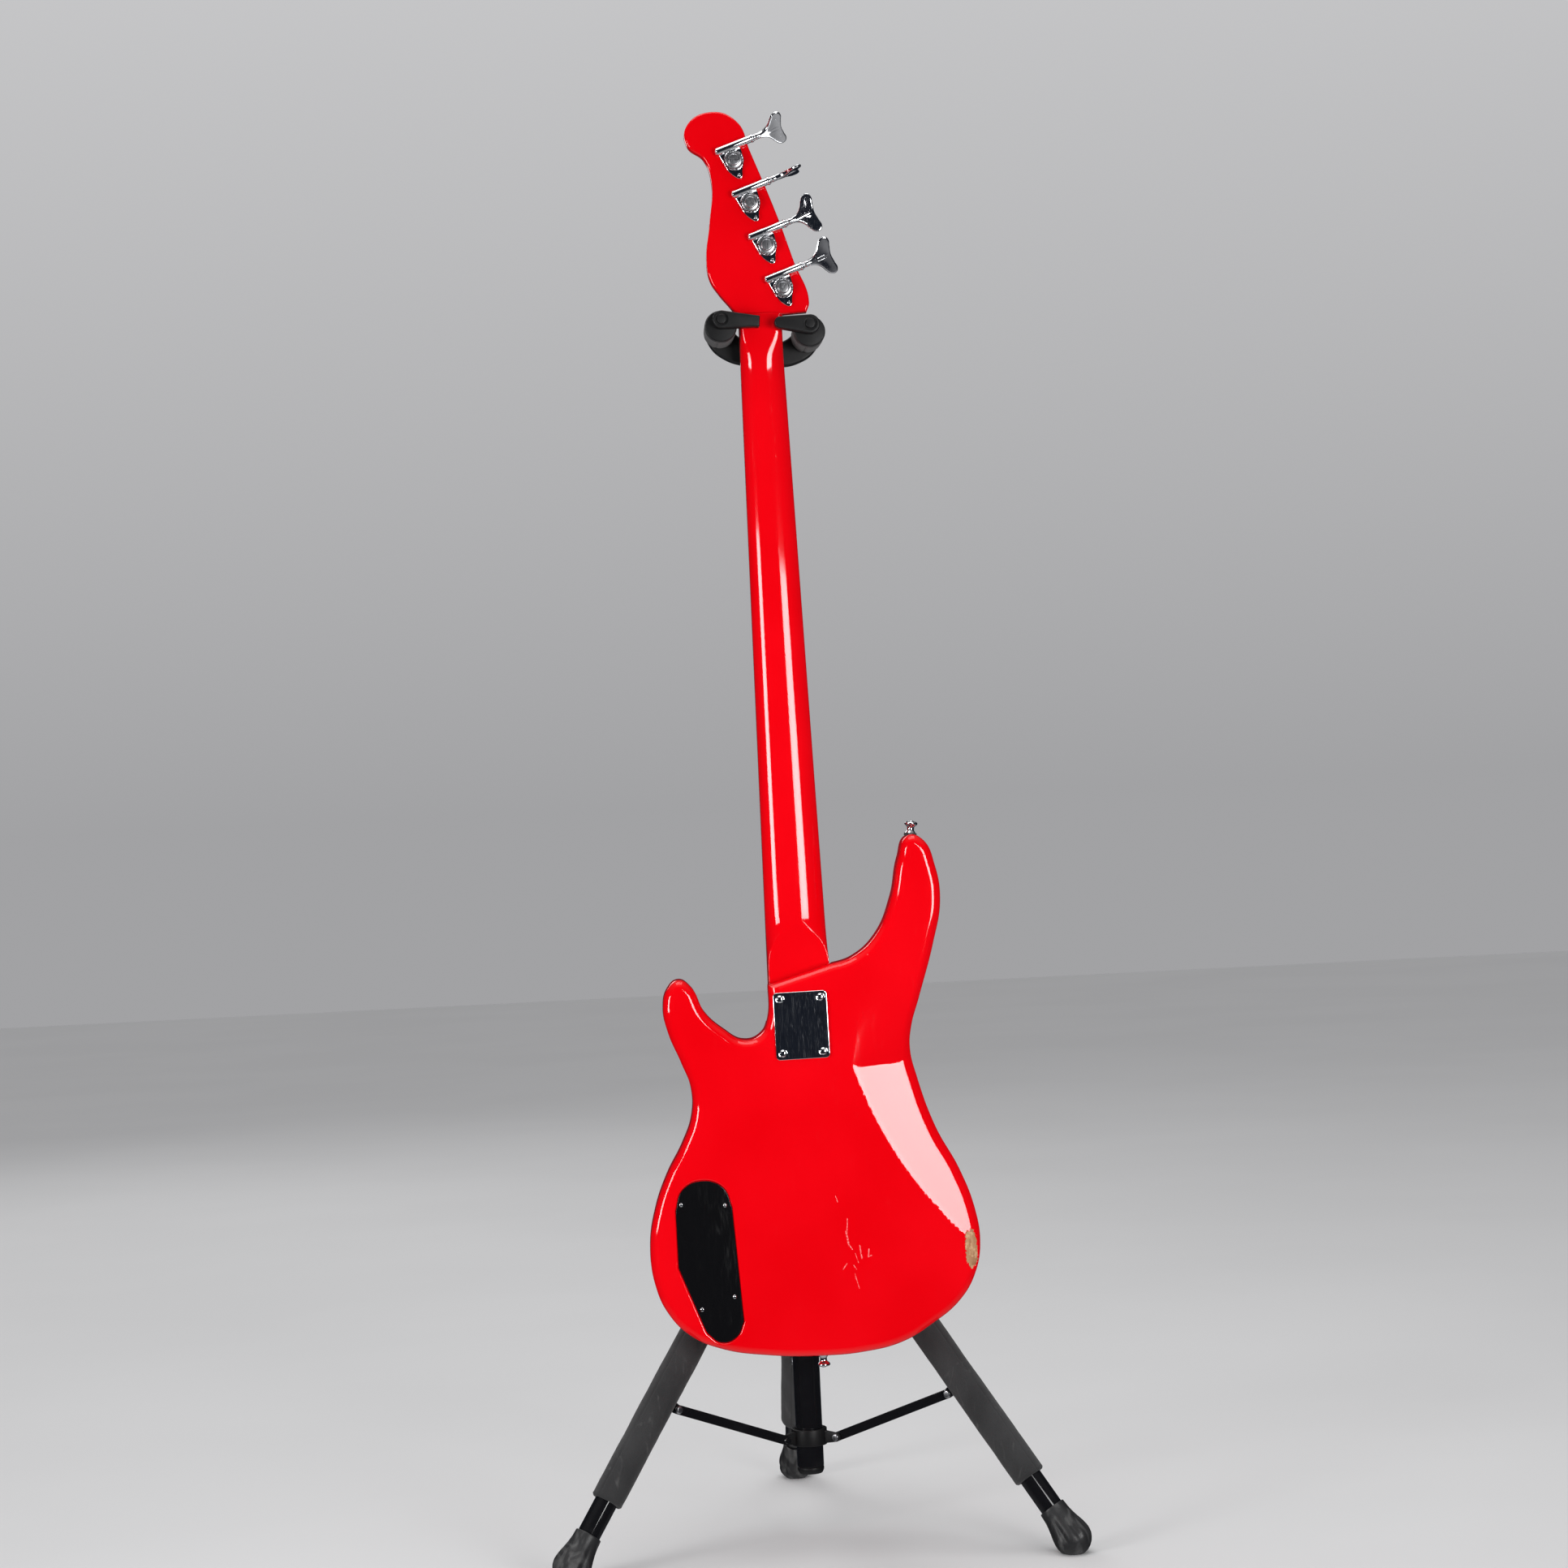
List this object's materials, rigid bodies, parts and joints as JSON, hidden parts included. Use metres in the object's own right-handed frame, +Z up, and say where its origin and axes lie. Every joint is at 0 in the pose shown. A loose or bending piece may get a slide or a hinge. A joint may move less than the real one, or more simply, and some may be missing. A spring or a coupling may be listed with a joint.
{
  "type": "bass guitar on stand",
  "caption": "Electric bass guitar with solid double-cutaway body, bolt-on neck and in-line tuners, hung by its headstock in the self-closing yoke of a folding tripod stand.",
  "frame": {"origin": "on the floor, at the middle of the box round the whole object", "axes": "+Z up, -Y the side that the guitar's back faces, +X to the right of someone who looks at that back"},
  "size_m": [0.5072, 0.4446, 1.3745],
  "materials": {
    "red_lacquer": "polished red polyester lacquer over wood",
    "chrome": "polished chrome plate",
    "black_metal": "gloss black powder coat",
    "black_plastic": "fine textured black moulding",
    "foam": "closed-cell foam skin",
    "rubber": "moulded rubber",
    "rosewood": "oiled open-pored wood",
    "bone": "polished bone",
    "steel": "nickel plated steel"
  },
  "bodies": {
    "stand": {"column_tube": "black_metal", "column_plug": "black_plastic", "strut_collar": "black_plastic", "clutch_housing": "black_plastic"},
    "hub": {"leg_hub": "black_plastic"},
    "hub_knob": {"hub_knob": "black_plastic"},
    "leg_left": {"leg_tube_left": "black_metal", "leg_foam_left": "foam", "leg_foot_left": "rubber"},
    "strut_left": {"strut_left": "black_metal"},
    "leg_right": {"leg_tube_right": "black_metal", "leg_foam_right": "foam", "leg_foot_right": "rubber"},
    "strut_right": {"strut_right": "black_metal"},
    "leg_rear": {"leg_tube_rear": "black_metal", "leg_foam_rear": "foam", "leg_foot_rear": "rubber"},
    "strut_rear": {"strut_rear": "black_metal"},
    "clutch_lever": {"clutch_lever": "black_plastic"},
    "shaft": {"height_shaft": "black_metal", "yoke_carrier": "black_plastic"},
    "plunger": {"yoke_plunger": "black_plastic"},
    "yoke": {"yoke_frame": "black_plastic", "arm_foam_left": "foam", "arm_foam_right": "foam"},
    "finger_left": {"finger_left": "black_plastic"},
    "finger_right": {"finger_right": "black_plastic"},
    "guitar": {"guitar_body": "red_lacquer", "neck": "red_lacquer", "fingerboard": "rosewood", "nut": "bone", "truss_rod": "steel", "neck_plate": "chrome", "control_cover": "black_plastic", "output_jack": "chrome", "neck_pickup": "black_plastic", "bridge_pickup": "black_plastic", "bridge_plate": "chrome", "strap_button_horn": "chrome", "strap_button_end": "chrome", "string_guide": "chrome", "tuner_plate_1": "chrome", "tuner_plate_2": "chrome", "tuner_plate_3": "chrome", "tuner_plate_4": "chrome"},
    "tuner_key_1": {"tuner_key_1": "chrome"},
    "tuner_post_1": {"tuner_post_1": "chrome"},
    "tuner_key_2": {"tuner_key_2": "chrome"},
    "tuner_post_2": {"tuner_post_2": "chrome"},
    "tuner_key_3": {"tuner_key_3": "chrome"},
    "tuner_post_3": {"tuner_post_3": "chrome"},
    "tuner_key_4": {"tuner_key_4": "chrome"},
    "tuner_post_4": {"tuner_post_4": "chrome"},
    "control_knob_1": {"control_knob_1": "chrome"},
    "control_knob_2": {"control_knob_2": "chrome"},
    "control_knob_3": {"control_knob_3": "chrome"},
    "saddle_1": {"bridge_saddle_1": "chrome"},
    "saddle_2": {"bridge_saddle_2": "chrome"},
    "saddle_3": {"bridge_saddle_3": "chrome"},
    "saddle_4": {"bridge_saddle_4": "chrome"}
  },
  "joints": [
    {"name": "hub_slide", "type": "slide", "parent": "stand", "child": "hub", "axis": [0, 0, 1], "range_m": [0, 0.1132]},
    {"name": "leg_fold_left", "type": "hinge", "parent": "hub", "child": "leg_left", "pos_m": [-0.03291, -0.08697, 0.3314], "axis": [0.5, -0.866, 0], "range_deg": [0, 33.49]},
    {"name": "strut_fold_left", "type": "hinge", "parent": "leg_left", "child": "strut_left", "pos_m": [-0.1299, -0.14297, 0.14435], "axis": [-0.5, 0.866, 0], "range_deg": [0, 104.44]},
    {"name": "leg_fold_right", "type": "hinge", "parent": "hub", "child": "leg_right", "pos_m": [0.03291, -0.08697, 0.3314], "axis": [0.5, 0.866, 0], "range_deg": [0, 33.49]},
    {"name": "strut_fold_right", "type": "hinge", "parent": "leg_right", "child": "strut_right", "pos_m": [0.1299, -0.14297, 0.14435], "axis": [-0.5, -0.866, 0], "range_deg": [0, 104.44]},
    {"name": "leg_fold_rear", "type": "hinge", "parent": "hub", "child": "leg_rear", "pos_m": [0, -0.02997, 0.3314], "axis": [-1, 0, 0], "range_deg": [0, 33.49]},
    {"name": "strut_fold_rear", "type": "hinge", "parent": "leg_rear", "child": "strut_rear", "pos_m": [0, 0.08203, 0.14435], "axis": [1, 0, 0], "range_deg": [0, 104.44]},
    {"name": "hub_knob_turn", "type": "hinge", "parent": "hub", "child": "hub_knob", "pos_m": [0, -0.06797, 0.3314], "axis": [0.866, 0.5, 0], "range_deg": [0, 330]},
    {"name": "height_slide", "type": "slide", "parent": "stand", "child": "shaft", "axis": [0, 0, 1], "range_m": [0, 0.12]},
    {"name": "clutch_squeeze", "type": "hinge", "parent": "stand", "child": "clutch_lever", "pos_m": [0, -0.04497, 0.52], "axis": [-1, 0, 0], "range_deg": [0, 6], "stiffness_Nm_per_rad": 2},
    {"name": "yoke_rise", "type": "slide", "parent": "shaft", "child": "plunger", "axis": [0, 0, 1], "range_m": [0, 0.0136]},
    {"name": "yoke_swivel", "type": "hinge", "parent": "plunger", "child": "yoke", "pos_m": [-0.0015, -0.13197, 1.15], "axis": [0, 1, 0], "range_deg": [-3, 3]},
    {"name": "finger_left_turn", "type": "hinge", "parent": "yoke", "child": "finger_left", "pos_m": [-0.04147, -0.18497, 1.17508], "axis": [0, -1, 0], "range_deg": [0, 95.1]},
    {"name": "finger_right_turn", "type": "hinge", "parent": "yoke", "child": "finger_right", "pos_m": [0.04221, -0.18497, 1.16776], "axis": [0, 1, 0], "range_deg": [0, 95.1]},
    {"name": "guitar_lift", "type": "slide", "parent": "plunger", "child": "guitar", "axis": [0, 0, 1], "range_m": [0, 0.045]},
    {"name": "tuner_key_1_turn", "type": "hinge", "parent": "guitar", "child": "tuner_key_1", "pos_m": [-0.02689, -0.18047, 1.33864], "axis": [0.9412, 0, 0.3378], "continuous": true},
    {"name": "tuner_post_1_turn", "type": "hinge", "parent": "guitar", "child": "tuner_post_1", "pos_m": [-0.02261, -0.16997, 1.32669], "axis": [0, 1, 0], "continuous": true},
    {"name": "tuner_key_2_turn", "type": "hinge", "parent": "guitar", "child": "tuner_key_2", "pos_m": [-0.01307, -0.18047, 1.29781], "axis": [0.9412, 0, 0.3378], "continuous": true},
    {"name": "tuner_post_2_turn", "type": "hinge", "parent": "guitar", "child": "tuner_post_2", "pos_m": [-0.00878, -0.16997, 1.28586], "axis": [0, 1, 0], "continuous": true},
    {"name": "tuner_key_3_turn", "type": "hinge", "parent": "guitar", "child": "tuner_key_3", "pos_m": [0.00076, -0.18047, 1.25699], "axis": [0.9412, 0, 0.3378], "continuous": true},
    {"name": "tuner_post_3_turn", "type": "hinge", "parent": "guitar", "child": "tuner_post_3", "pos_m": [0.00505, -0.16997, 1.24504], "axis": [0, 1, 0], "continuous": true},
    {"name": "tuner_key_4_turn", "type": "hinge", "parent": "guitar", "child": "tuner_key_4", "pos_m": [0.01459, -0.18047, 1.21616], "axis": [0.9412, 0, 0.3378], "continuous": true},
    {"name": "tuner_post_4_turn", "type": "hinge", "parent": "guitar", "child": "tuner_post_4", "pos_m": [0.01888, -0.16997, 1.20421], "axis": [0, 1, 0], "continuous": true},
    {"name": "control_knob_1_turn", "type": "hinge", "parent": "guitar", "child": "control_knob_1", "pos_m": [-0.09688, -0.15997, 0.34064], "axis": [0, 1, 0], "range_deg": [-140, 140]},
    {"name": "control_knob_2_turn", "type": "hinge", "parent": "guitar", "child": "control_knob_2", "pos_m": [-0.09542, -0.15997, 0.30566], "axis": [0, 1, 0], "range_deg": [-140, 140]},
    {"name": "control_knob_3_turn", "type": "hinge", "parent": "guitar", "child": "control_knob_3", "pos_m": [-0.09097, -0.15997, 0.27071], "axis": [0, 1, 0], "range_deg": [-140, 140]},
    {"name": "saddle_1_slide", "type": "slide", "parent": "guitar", "child": "saddle_1", "axis": [-0.0129, 0, 0.9999], "range_m": [-0.006, 0.01]},
    {"name": "saddle_2_slide", "type": "slide", "parent": "guitar", "child": "saddle_2", "axis": [-0.0129, 0, 0.9999], "range_m": [-0.006, 0.01]},
    {"name": "saddle_3_slide", "type": "slide", "parent": "guitar", "child": "saddle_3", "axis": [-0.0129, 0, 0.9999], "range_m": [-0.006, 0.01]},
    {"name": "saddle_4_slide", "type": "slide", "parent": "guitar", "child": "saddle_4", "axis": [-0.0129, 0, 0.9999], "range_m": [-0.006, 0.01]}
  ],
  "couplings": [
    {"joint": "leg_fold_left", "follows": "hub_slide", "rad_per_m": 5.1556},
    {"joint": "strut_fold_left", "follows": "hub_slide", "rad_per_m": 16.087},
    {"joint": "leg_fold_right", "follows": "hub_slide", "rad_per_m": 5.1556},
    {"joint": "strut_fold_right", "follows": "hub_slide", "rad_per_m": 16.087},
    {"joint": "leg_fold_rear", "follows": "hub_slide", "rad_per_m": 5.1556},
    {"joint": "strut_fold_rear", "follows": "hub_slide", "rad_per_m": 16.087},
    {"joint": "finger_left_turn", "follows": "guitar_lift", "rad_per_m": 36.846},
    {"joint": "finger_right_turn", "follows": "guitar_lift", "rad_per_m": 36.846},
    {"joint": "yoke_rise", "follows": "guitar_lift", "ratio": 0.3},
    {"joint": "tuner_post_1_turn", "follows": "tuner_key_1_turn", "ratio": 0.05},
    {"joint": "tuner_post_2_turn", "follows": "tuner_key_2_turn", "ratio": 0.05},
    {"joint": "tuner_post_3_turn", "follows": "tuner_key_3_turn", "ratio": 0.05},
    {"joint": "tuner_post_4_turn", "follows": "tuner_key_4_turn", "ratio": 0.05}
  ]
}
